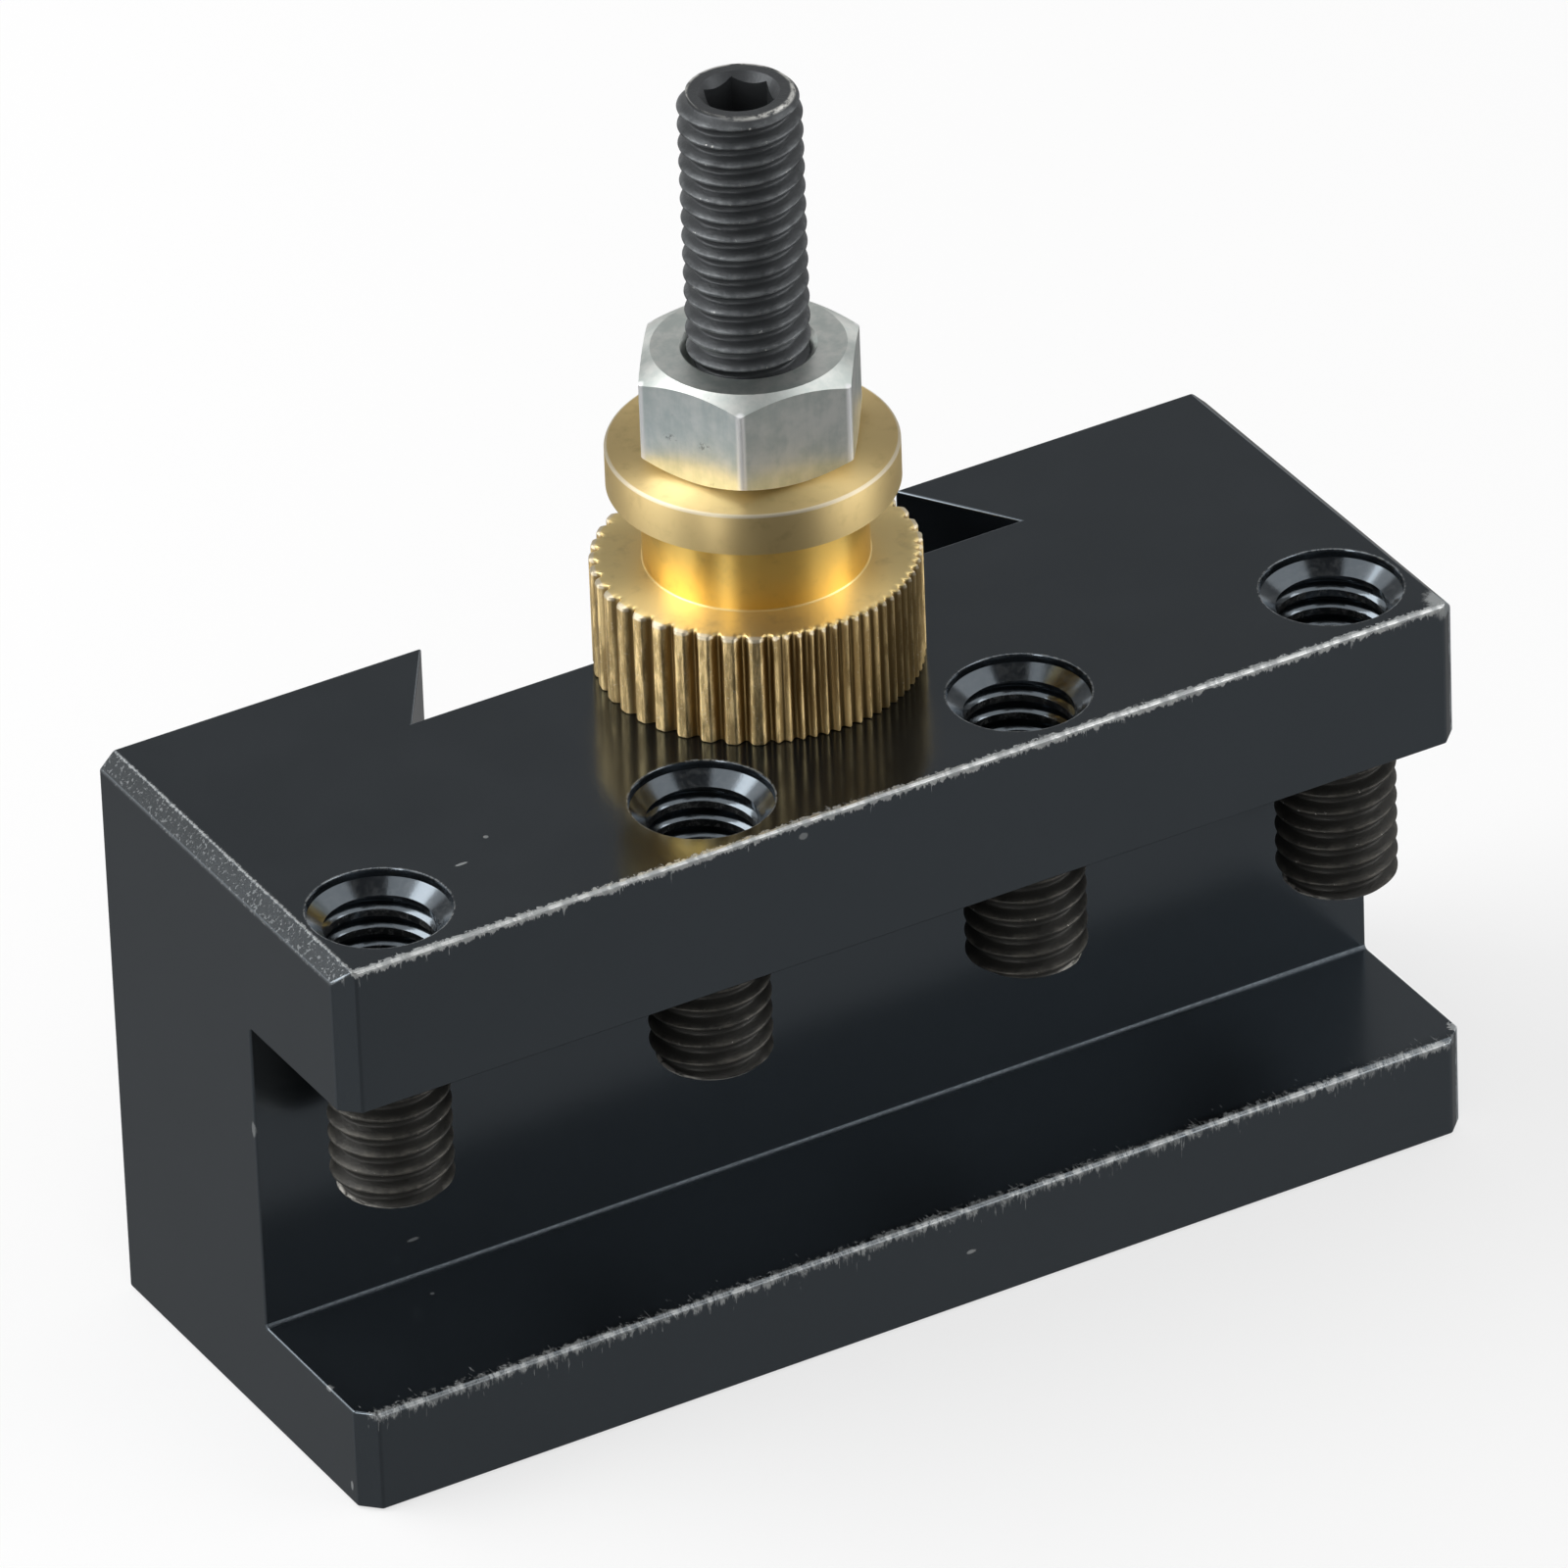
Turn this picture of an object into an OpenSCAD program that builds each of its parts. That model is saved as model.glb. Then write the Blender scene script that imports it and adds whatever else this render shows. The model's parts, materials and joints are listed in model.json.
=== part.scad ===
// Quick-change lathe tool holder for a square-shank turning tool.
// The origin is the middle of the body's underside. X runs along the body,
// -Y is the side that takes the tool, +Y is the dovetail side and Z is up.

/* [Body] */
// Length of the body, end to end
body_len = 61; // [56:0.5:80]
// Depth of the body, from the front to the dovetail face
body_depth = 23.3; // [22:0.1:32]
// Height of the body
body_h = 30; // [26:0.5:44]
// Chamfer along the two top end edges
top_chamfer = 0.8; // [0.2:0.1:1.5]
// Chamfer down the upright front corners
corner_chamfer = 0.9; // [0.2:0.1:1.5]

/* [Tool slot] */
// Thickness of the lip that the tool lies on
lip_t = 5.4; // [4:0.1:8]
// Thickness of the jaw that carries the clamp screws
jaw_t = 7.8; // [6:0.1:9]
// How far the slot reaches in from the front
slot_depth = 9.3; // [8:0.1:10.5]
// Fillet in the slot's inner corners
slot_fillet = 0.2; // [0.1:0.05:1.6]

/* [Dovetail groove] */
// Width of the groove at the rear face
dovetail_mouth = 26.1; // [20:0.1:32]
// Depth of the groove
dovetail_depth = 5.65; // [4:0.05:6.5]
// Angle between a flank and the groove's floor
dovetail_angle = 57; // [50:1:70]

/* [Threads and sockets] */
// Outside diameter of the screw threads
thread_d = 5.9; // [4.9:0.1:6.4]
// Clearance between a thread and its hole, on the radius
thread_gap = 0.05; // [0.02:0.01:0.1]
// Width of the hex sockets across flats
socket_af = 3; // [2.5:0.1:3.2]
// Depth of the hex sockets
socket_depth = 3.2; // [2:0.1:5]
// Lead-in chamfer at a socket's mouth
socket_chamfer = 0.3; // [0.1:0.05:0.5]

/* [Clamp screws] */
// Distance of the end screws from the body's ends
screw_end = 4.55; // [4.2:0.05:8]
// Distance of the screw row from the front
screw_inset = 4.3; // [4:0.1:5]
// Length of a clamp screw
screw_len = 10; // [9:0.5:15]
// Chamfer at both ends of a clamp screw
screw_chamfer = 0.4; // [0.1:0.05:0.8]
// How far each screw's tip stands out below the jaw, left to right
tip_drop = [7.2, 6.2, 6.7, 8.2]; // [1:0.1:8.5]
// Width of the cup in a clamp screw's tip
cup_d = 3; // [2:0.1:4]
// Angle of the cup in a clamp screw's tip
cup_angle = 120; // [90:1:130]
// Chamfer at the mouth of each clamp screw hole
hole_chamfer = 0.45; // [0.1:0.05:0.8]

/* [Height stud] */
// Length of the stud
stud_len = 40; // [36:1:60]
// Length of the stud inside the body
stud_embed = 9; // [6:0.5:12]
// How far the stud stands behind the middle of the web
stud_offset = 0.2; // [-0.3:0.1:0.5]
// Chamfer at both ends of the stud
stud_chamfer = 0.5; // [0.1:0.05:0.8]
// Depth of the stud hole beyond the stud's end
stud_hole_spare = 0.8; // [0.2:0.1:2]
// Point angle of the drilled stud hole
drill_angle = 118; // [90:1:140]

/* [Height adjusting nut] */
// Diameter over the knurl
knurl_d = 15.9; // [15:0.1:20]
// Height of the knurled foot
knurl_h = 5.9; // [4:0.1:8]
// Number of knurl teeth
knurl_teeth = 40; // [24:1:60]
// Depth of the knurl grooves
knurl_depth = 0.42; // [0.1:0.02:0.8]
// Share of the tooth pitch that a groove takes
groove_share = 0.7; // [0.3:0.05:0.9]
// Turn of the first tooth from the X axis
knurl_turn = 5.25; // [0:0.25:9]
// Middle of the stretch that the knurling tool tracked twice
double_middle = 290; // [0:5:360]
// Half the width of the stretch that the knurling tool tracked twice
double_half = 50; // [0:5:180]
// Diameter of the neck
neck_d = 10.8; // [9:0.1:12]
// Height of the neck
neck_h = 4; // [2:0.1:6]
// Diameter of the top flange
flange_d = 14; // [13:0.1:18]
// Thickness of the top flange
flange_t = 2.2; // [1:0.1:4]
// Edge break on the flange
flange_edge = 0.15; // [0.05:0.05:0.4]

/* [Lock nut] */
// Width of the lock nut across flats
lock_af = 10; // [9:0.5:12]
// Share of the sharp corner width that is left after the corners are eased
corner_share = 0.985; // [0.93:0.005:1]
// Thickness of the lock nut
lock_t = 5.2; // [3:0.1:6]
// Share of the width across flats that the end faces keep
face_share = 0.93; // [0.85:0.01:1]
// Slope of the corner chamfers
lock_slope = 30; // [15:1:40]
// Turn of the lock nut on the stud
lock_turn = 55.5; // [0:0.5:60]
// Chamfer at both mouths of the nuts' threaded holes
nut_lead_in = 0.25; // [0.1:0.05:0.5]

/* [Hidden] */
$fn = 64;

black_oxide = "#2b2f33";
oxide_screw = "#3a3a3c";
brass_gold = "#c8a24e";
zinc_silver = "#b9c2c6";

// How far a cutting shape passes the face it cuts
over = 1;
screw_r = thread_d / 2;
hole_r = screw_r + thread_gap;

front_y = -body_depth / 2;
rear_y = body_depth / 2;
slot_back_y = front_y + slot_depth;
groove_floor_y = rear_y - dovetail_depth;
dovetail_floor = dovetail_mouth + 2 * dovetail_depth / tan(dovetail_angle);
jaw_z = body_h - jaw_t;

screw_count = len(tip_drop);
screw_spacing = (body_len - 2 * screw_end) / (screw_count - 1);
screw_y = front_y + screw_inset;
stud_y = (slot_back_y + groove_floor_y) / 2 + stud_offset;
stud_z = body_h - stud_embed;

flange_z = body_h + knurl_h + neck_h;
lock_z = flange_z + flange_t;

// Points on the knurl's outline for each tooth pitch
tooth_points = 10;
knurl_points = knurl_teeth * tooth_points;
tooth_pitch = 360 / knurl_teeth;
// Ramp at each end of the stretch that was tracked twice
double_ramp = 12;

function screw_x(i) = (i - (screw_count - 1) / 2) * screw_spacing;

// Shape of one groove over a tooth pitch: 0 on the crest, 1 at the bottom
function groove(turns) =
    let (away = abs(turns - round(turns - 0.5) - 0.5) / (groove_share / 2))
    away < 1 ? (1 + cos(180 * away)) / 2 : 0;

// Smallest angle between two directions
function between(a, b) = abs((a - b + 540) % 360 - 180);

// 1 where the knurl was tracked twice, 0 elsewhere
function doubled(angle) =
    min(1, max(0, (double_half - between(angle, double_middle)) / double_ramp));

function knurl_r(angle) =
    let (turns = (angle - knurl_turn) / tooth_pitch)
    knurl_d / 2 - knurl_depth * max(groove(turns), doubled(angle) * groove(turns + 0.5));

module body_side() {
    difference() {
        translate([front_y, 0]) square([body_depth, body_h]);
        slot_side();
    }
}

module slot_side() {
    slot_h = jaw_z - lip_t;
    straight = slot_depth - slot_fillet;
    translate([front_y - over, lip_t]) square([straight + over, slot_h]);
    translate([front_y - over, lip_t + slot_fillet])
        square([slot_depth + over, slot_h - 2 * slot_fillet]);
    for (z = [lip_t + slot_fillet, jaw_z - slot_fillet])
        translate([slot_back_y - slot_fillet, z]) circle(r = slot_fillet);
}

module body_plan() {
    half = body_len / 2;
    polygon([[-half + corner_chamfer, front_y], [half - corner_chamfer, front_y],
             [half, front_y + corner_chamfer], [half, rear_y],
             [-half, rear_y], [-half, front_y + corner_chamfer]]);
}

module body_front() {
    half = body_len / 2;
    polygon([[-half, 0], [half, 0], [half, body_h - top_chamfer],
             [half - top_chamfer, body_h], [-half + top_chamfer, body_h],
             [-half, body_h - top_chamfer]]);
}

module dovetail_plan() {
    mouth = dovetail_mouth / 2;
    floor_half = dovetail_floor / 2;
    polygon([[-floor_half, groove_floor_y], [floor_half, groove_floor_y],
             [mouth, rear_y], [mouth, rear_y + over],
             [-mouth, rear_y + over], [-mouth, rear_y]]);
}

module clamp_hole() {
    translate([0, 0, jaw_z - over]) cylinder(h = jaw_t + 2 * over, r = hole_r);
    translate([0, 0, body_h - hole_chamfer])
        cylinder(h = hole_chamfer + over, r1 = hole_r, r2 = hole_r + hole_chamfer + over);
}

module stud_hole() {
    bottom = stud_z - stud_hole_spare;
    point_h = hole_r / tan(drill_angle / 2);
    translate([0, 0, bottom]) cylinder(h = body_h - bottom + over, r = hole_r);
    translate([0, 0, bottom - point_h]) cylinder(h = point_h, r1 = 0, r2 = hole_r);
}

module tool_holder_body() {
    color(black_oxide)
    difference() {
        intersection() {
            rotate([90, 0, 90])
                linear_extrude(height = body_len, center = true) body_side();
            linear_extrude(height = body_h) body_plan();
            translate([0, rear_y, 0]) rotate([90, 0, 0])
                linear_extrude(height = body_depth) body_front();
        }
        translate([0, 0, -over]) linear_extrude(height = body_h + 2 * over) dovetail_plan();
        for (i = [0 : screw_count - 1])
            translate([screw_x(i), screw_y, 0]) clamp_hole();
        translate([0, stud_y, 0]) stud_hole();
    }
}

// Threaded rod with both ends chamfered and a hex socket in its top end
module socket_rod(length, chamfer) {
    socket_r = socket_af / 2 / cos(30);
    lead_r = socket_r + socket_chamfer;
    difference() {
        rotate_extrude()
            polygon([[0, 0], [screw_r - chamfer, 0], [screw_r, chamfer],
                     [screw_r, length - chamfer], [screw_r - chamfer, length], [0, length]]);
        translate([0, 0, length - socket_depth])
            cylinder(h = socket_depth + over, r = socket_r, $fn = 6);
        translate([0, 0, length - socket_chamfer])
            cylinder(h = socket_chamfer + over, r1 = socket_r, r2 = lead_r + over);
    }
}

module clamp_screw(i) {
    cup_h = cup_d / 2 / tan(cup_angle / 2);
    color(oxide_screw)
    translate([screw_x(i), screw_y, jaw_z - tip_drop[i]])
    difference() {
        socket_rod(screw_len, screw_chamfer);
        translate([0, 0, -over])
            cylinder(h = cup_h + over, r1 = cup_d / 2 * (1 + over / cup_h), r2 = 0);
    }
}

module height_stud() {
    color(oxide_screw) translate([0, stud_y, stud_z]) socket_rod(stud_len, stud_chamfer);
}

// Threaded hole of a nut, with a lead-in chamfer at both mouths
module nut_hole(length) {
    translate([0, 0, -over]) cylinder(h = length + 2 * over, r = hole_r);
    translate([0, 0, length - nut_lead_in])
        cylinder(h = nut_lead_in + over, r1 = hole_r, r2 = hole_r + nut_lead_in + over);
    translate([0, 0, -over])
        cylinder(h = nut_lead_in + over, r1 = hole_r + nut_lead_in + over, r2 = hole_r);
}

module knurled_foot() {
    linear_extrude(height = knurl_h)
        polygon([for (i = [0 : knurl_points - 1])
            let (angle = 360 * i / knurl_points)
            knurl_r(angle) * [cos(angle), sin(angle)]]);
}

module height_adjusting_nut() {
    nut_h = knurl_h + neck_h + flange_t;
    flange_r = flange_d / 2;
    color(brass_gold)
    translate([0, stud_y, body_h])
    difference() {
        union() {
            knurled_foot();
            cylinder(h = knurl_h + neck_h + flange_edge, d = neck_d);
            translate([0, 0, knurl_h + neck_h])
                rotate_extrude()
                    polygon([[0, 0], [flange_r - flange_edge, 0], [flange_r, flange_edge],
                             [flange_r, flange_t - flange_edge],
                             [flange_r - flange_edge, flange_t], [0, flange_t]]);
        }
        nut_hole(nut_h);
    }
}

module lock_nut() {
    sharp_r = lock_af / 2 / cos(30);
    corner_r = sharp_r * corner_share;
    face_r = lock_af / 2 * face_share;
    slope_h = (corner_r - face_r) * tan(lock_slope);
    color(zinc_silver)
    translate([0, stud_y, lock_z])
    difference() {
        intersection() {
            rotate([0, 0, lock_turn]) cylinder(h = lock_t, r = sharp_r, $fn = 6);
            rotate_extrude()
                polygon([[0, 0], [face_r, 0], [corner_r, slope_h],
                         [corner_r, lock_t - slope_h], [face_r, lock_t], [0, lock_t]]);
        }
        nut_hole(lock_t);
    }
}

module clamp_screw_1() { clamp_screw(0); }
module clamp_screw_2() { clamp_screw(1); }
module clamp_screw_3() { clamp_screw(2); }
module clamp_screw_4() { clamp_screw(3); }

tool_holder_body();
height_stud();
height_adjusting_nut();
lock_nut();
clamp_screw_1();
clamp_screw_2();
clamp_screw_3();
clamp_screw_4();
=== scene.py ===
import json
import math

import bpy
from mathutils import Matrix, Vector

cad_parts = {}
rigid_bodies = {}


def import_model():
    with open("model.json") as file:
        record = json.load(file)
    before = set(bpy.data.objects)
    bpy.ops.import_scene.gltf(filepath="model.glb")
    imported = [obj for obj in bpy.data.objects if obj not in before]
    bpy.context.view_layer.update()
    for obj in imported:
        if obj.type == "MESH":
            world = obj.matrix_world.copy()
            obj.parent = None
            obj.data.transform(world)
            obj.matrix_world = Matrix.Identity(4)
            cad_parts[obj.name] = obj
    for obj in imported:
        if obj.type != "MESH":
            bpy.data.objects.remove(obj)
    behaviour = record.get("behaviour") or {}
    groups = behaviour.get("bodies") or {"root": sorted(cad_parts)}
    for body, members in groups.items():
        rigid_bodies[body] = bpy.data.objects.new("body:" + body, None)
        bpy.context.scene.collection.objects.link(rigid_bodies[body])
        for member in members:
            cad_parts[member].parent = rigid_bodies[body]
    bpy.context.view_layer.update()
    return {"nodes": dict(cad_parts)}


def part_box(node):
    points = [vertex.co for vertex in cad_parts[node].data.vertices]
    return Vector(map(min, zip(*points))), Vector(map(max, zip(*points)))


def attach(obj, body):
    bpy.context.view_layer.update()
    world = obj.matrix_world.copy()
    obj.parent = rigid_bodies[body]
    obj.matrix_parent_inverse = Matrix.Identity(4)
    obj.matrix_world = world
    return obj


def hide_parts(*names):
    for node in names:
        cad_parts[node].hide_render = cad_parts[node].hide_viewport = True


mm = 0.001
mergeGap = 0.0004          # mm between vertices that count as one

bpy.ops.object.select_all(action="SELECT")
bpy.ops.object.delete()
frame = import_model()
print("frame loaded:", sorted(frame["nodes"]))


# Selecting and finishing

def deselectAll():
    if bpy.context.mode != "OBJECT":
        bpy.ops.object.mode_set(mode="OBJECT")
    bpy.ops.object.select_all(action="DESELECT")


def activate(piece):
    deselectAll()
    piece.select_set(True)
    bpy.context.view_layer.objects.active = piece


def applyPlace(piece):
    activate(piece)
    bpy.ops.object.transform_apply(location=True, rotation=True, scale=True)


def pickEdges(piece, rule):
    # Leaves edit mode open with only the edges that the rule takes
    activate(piece)
    bpy.context.tool_settings.mesh_select_mode = (False, True, False)
    bpy.ops.object.mode_set(mode="EDIT")
    bpy.ops.mesh.select_all(action="DESELECT")
    bpy.ops.object.mode_set(mode="OBJECT")
    corners = piece.data.vertices
    for edge in piece.data.edges:
        a, b = (corners[i].co / mm for i in edge.vertices)
        edge.select = bool(rule(a, b))
    bpy.ops.object.mode_set(mode="EDIT")


def bevelEdges(piece, rule, width, segments):
    pickEdges(piece, rule)
    bpy.ops.mesh.bevel(offset=width * mm, segments=segments, affect="EDGES")
    deselectAll()


def shave(piece, point, normal):
    # Cuts off what lies beyond a plane and closes the cut
    activate(piece)
    bpy.context.tool_settings.mesh_select_mode = (True, False, False)
    bpy.ops.object.mode_set(mode="EDIT")
    bpy.ops.mesh.select_all(action="SELECT")
    bpy.ops.mesh.bisect(plane_co=[p * mm for p in point], plane_no=normal, use_fill=True,
                        clear_outer=True, threshold=0.0001 * mm)
    deselectAll()


def closeUp(piece):
    # Merges doubles and turns every face outwards
    activate(piece)
    bpy.ops.object.mode_set(mode="EDIT")
    bpy.ops.mesh.select_all(action="SELECT")
    bpy.ops.mesh.remove_doubles(threshold=mergeGap * mm)
    bpy.ops.mesh.normals_make_consistent(inside=False)
    deselectAll()


def combine(piece, cutter, operation):
    activate(piece)
    change = piece.modifiers.new("combine", "BOOLEAN")
    change.operation = operation
    change.solver = "EXACT"
    change.object = cutter
    bpy.ops.object.modifier_apply(modifier=change.name)
    bpy.data.objects.remove(cutter)


def roundEdges(piece, width, segments, angle):
    activate(piece)
    change = piece.modifiers.new("round", "BEVEL")
    change.width = width * mm
    change.segments = segments
    change.limit_method = "ANGLE"
    change.angle_limit = math.radians(angle)
    change.use_clamp_overlap = False
    bpy.ops.object.modifier_apply(modifier=change.name)


def smooth(piece, angle, weighted=False):
    activate(piece)
    bpy.ops.object.shade_smooth_by_angle(angle=math.radians(angle))
    if weighted:
        change = piece.modifiers.new("weighted", "WEIGHTED_NORMAL")
        change.keep_sharp = True
        change.weight = 60
        bpy.ops.object.modifier_apply(modifier=change.name)


def paint(piece, material):
    piece.data.materials.clear()
    piece.data.materials.append(material)


# Primitives, profiles and threads

def block(name, low, high):
    deselectAll()
    middle = [(a + b) / 2 * mm for a, b in zip(low, high)]
    bpy.ops.mesh.primitive_cube_add(size=1, location=middle)
    piece = bpy.context.object
    piece.name = name
    piece.scale = [(b - a) * mm for a, b in zip(low, high)]
    applyPlace(piece)
    return piece


def cone(name, centre, low, high, lowRadius, highRadius, sides, turn=0.0):
    deselectAll()
    bpy.ops.mesh.primitive_cone_add(
        vertices=sides, radius1=lowRadius * mm, radius2=highRadius * mm, depth=(high - low) * mm,
        location=(centre[0] * mm, centre[1] * mm, (low + high) / 2 * mm),
        rotation=(0, 0, math.radians(turn - 90)))   # so that a corner stands at turn
    piece = bpy.context.object
    piece.name = name
    applyPlace(piece)
    return piece


def drawChain(name, points):
    # One vertex, then one extrusion to each further point (radius, height)
    deselectAll()
    bpy.ops.mesh.primitive_plane_add(size=mm, location=(0, 0, 0))
    chain = bpy.context.object
    chain.name = name
    bpy.context.tool_settings.mesh_select_mode = (True, False, False)
    bpy.ops.object.mode_set(mode="EDIT")
    bpy.ops.mesh.select_all(action="SELECT")
    bpy.ops.mesh.merge(type="CENTER")
    here = (0.0, 0.0)
    for number, there in enumerate(points):
        step = ((there[0] - here[0]) * mm, 0, (there[1] - here[1]) * mm)
        if number:
            bpy.ops.mesh.extrude_region_move(TRANSFORM_OT_translate={"value": step})
        else:
            bpy.ops.transform.translate(value=step)
        here = there
    deselectAll()
    return chain


def turnOnLathe(name, centre, points, steps):
    # Spins a chain of (radius, height) points about an upright axis
    piece = drawChain(name, points)
    activate(piece)
    bpy.ops.object.mode_set(mode="EDIT")
    bpy.ops.mesh.select_all(action="SELECT")
    bpy.ops.mesh.spin(steps=steps, angle=math.tau, center=(0, 0, 0), axis=(0, 0, 1))
    deselectAll()
    closeUp(piece)
    piece.location = (centre[0] * mm, centre[1] * mm, 0)
    applyPlace(piece)
    return piece


def shapeRadius(piece, centre, rule):
    # Gives each vertex the radius that rule(angle, height, radius) says
    for corner in piece.data.vertices:
        x = corner.co.x / mm - centre[0]
        y = corner.co.y / mm - centre[1]
        radius = math.hypot(x, y)
        if radius < 1e-4:
            continue
        wanted = rule(math.degrees(math.atan2(y, x)) % 360, corner.co.z / mm, radius)
        corner.co.x = (centre[0] + x * wanted / radius) * mm
        corner.co.y = (centre[1] + y * wanted / radius) * mm
    piece.data.update()


def keepInside(piece, low, high):
    for corner in piece.data.vertices:
        for i in range(3):
            corner.co[i] = min(max(corner.co[i], low[i] * mm), high[i] * mm)


thread = {
    "pitch": 1.0,          # mm for each turn
    "crest": 2.95,         # crest radius of a screw
    "root": 2.42,          # root radius of a screw
    "drilled": 2.62,       # inner radius of a tapped hole
    "tapped": 3.0,         # outer radius of a tapped hole
    "steps": 72,           # facets round one turn
}
# Height over one pitch and the share of the thread's depth there
threadForm = [(0.0, 0.0), (0.09, 0.0), (0.135, 0.035), (0.18, 0.14), (0.29, 0.5), (0.4, 0.86),
              (0.445, 0.965), (0.5, 1.0), (0.555, 0.965), (0.6, 0.86), (0.71, 0.5), (0.82, 0.14),
              (0.865, 0.035), (0.91, 0.0), (1.0, 0.0)]


def threadedRod(name, centre, low, high, crestHeight, root, crest):
    # Its crest passes crestHeight, give or take whole pitches, on the +X side
    pitch = thread["pitch"]
    start = low - 2 * pitch
    start += (crestHeight - pitch / 2 - start) % pitch - pitch
    turns = math.ceil((high - start) / pitch) + 2
    rod = drawChain(name, [(root + (crest - root) * share, start + height * pitch)
                           for height, share in threadForm])
    activate(rod)
    sweep = rod.modifiers.new("sweep", "SCREW")
    sweep.axis = "Z"
    sweep.screw_offset = pitch * mm
    sweep.steps = sweep.render_steps = thread["steps"]
    sweep.iterations = turns
    sweep.use_normal_calculate = True
    bpy.ops.object.modifier_apply(modifier=sweep.name)
    closeUp(rod)
    shave(rod, (0, 0, low), (0, 0, -1))
    shave(rod, (0, 0, high), (0, 0, 1))
    rod.location = (centre[0] * mm, centre[1] * mm, 0)
    applyPlace(rod)
    closeUp(rod)
    return rod


def chamferEnds(rod, centre, low, high, chamfer):
    def rule(angle, height, radius):
        inward = max(low + chamfer - height, height - high + chamfer, 0)
        return min(radius, thread["crest"] - inward)
    shapeRadius(rod, centre, rule)


def tapHole(piece, centre, low, high, crestHeight, mouth, blind=False):
    # One cutter, threaded inside and flared to the mouth's radius at its open ends
    slack = thread["tapped"] - thread["crest"]
    tap = threadedRod("tap", centre, low if blind else low - 1, high + 1, crestHeight,
                      thread["root"] + slack, thread["tapped"])

    def rule(angle, height, radius):
        inward = high - height if blind else min(height - low, high - height)
        return max(radius, thread["drilled"], min(mouth + 0.5, mouth - inward))
    shapeRadius(tap, centre, rule)
    combine(piece, tap, "DIFFERENCE")


# Materials

def newMaterial(name):
    material = bpy.data.materials.new(name)
    material.use_nodes = True
    tree = material.node_tree
    shader = tree.nodes["Principled BSDF"]
    return material, tree, shader


def node(tree, kind, inputs=(), **settings):
    made = tree.nodes.new(kind)
    for key, value in settings.items():
        setattr(made, key, value)
    for key, value in dict(inputs).items():
        if isinstance(value, bpy.types.NodeSocket):
            tree.links.new(value, made.inputs[key])
        else:
            made.inputs[key].default_value = value
    return made


def maths(tree, operation, a, b=0.0, c=0.0, clamp=False):
    return node(tree, "ShaderNodeMath", {0: a, 1: b, 2: c}, operation=operation,
                use_clamp=clamp).outputs[0]


def placeInMm(tree):
    where = node(tree, "ShaderNodeTexCoord").outputs["Object"]
    return node(tree, "ShaderNodeVectorMath", {0: where, "Scale": 1 / mm},
                operation="SCALE").outputs[0]


def split(tree, vector):
    return node(tree, "ShaderNodeSeparateXYZ", {0: vector}).outputs


def stretched(tree, vector, scale):
    return node(tree, "ShaderNodeVectorMath", {0: vector, 1: scale},
                operation="MULTIPLY").outputs[0]


def noise(tree, vector, scale, detail=2.0, rough=0.5):
    return node(tree, "ShaderNodeTexNoise",
                {"Vector": vector, "Scale": scale, "Detail": detail, "Roughness": rough}
                ).outputs["Fac"]


def ramp(tree, value, low, high):
    # 0 below low, 1 above high, and the other way round where high is the smaller
    return node(tree, "ShaderNodeMapRange",
                {"Value": value, "From Min": low, "From Max": high},
                interpolation_type="SMOOTHSTEP").outputs[0]


def mixColour(tree, share, a, b):
    made = node(tree, "ShaderNodeMix", data_type="RGBA")
    for key, value in ((0, share), (6, a), (7, b)):
        if isinstance(value, bpy.types.NodeSocket):
            tree.links.new(value, made.inputs[key])
        else:
            made.inputs[key].default_value = value if key == 0 else (*value, 1)
    return made.outputs[2]


def mixValue(tree, share, a, b):
    return node(tree, "ShaderNodeMix", {0: share, 2: a, 3: b}, data_type="FLOAT").outputs[0]


def bump(tree, shader, height, strength, distance):
    relief = node(tree, "ShaderNodeBump",
                  {"Height": height, "Strength": strength, "Distance": distance * mm})
    tree.links.new(relief.outputs[0], shader.inputs["Normal"])


def distanceToLine(tree, parts, axis, point):
    # Distance in mm from an edge that runs along one axis through the point
    others = [i for i in range(3) if i != axis]
    offsets = [maths(tree, "SUBTRACT", parts[i], point[i]) for i in others]
    squares = [maths(tree, "MULTIPLY", o, o) for o in offsets]
    return maths(tree, "SQRT", maths(tree, "ADD", *squares))


def distanceToSpot(tree, place, middle, stretch):
    # Distance from a point, longer along each axis by its stretch
    offset = node(tree, "ShaderNodeVectorMath", {0: place, 1: middle},
                  operation="SUBTRACT").outputs[0]
    return node(tree, "ShaderNodeVectorMath", {0: stretched(tree, offset, stretch)},
                operation="LENGTH").outputs["Value"]


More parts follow.
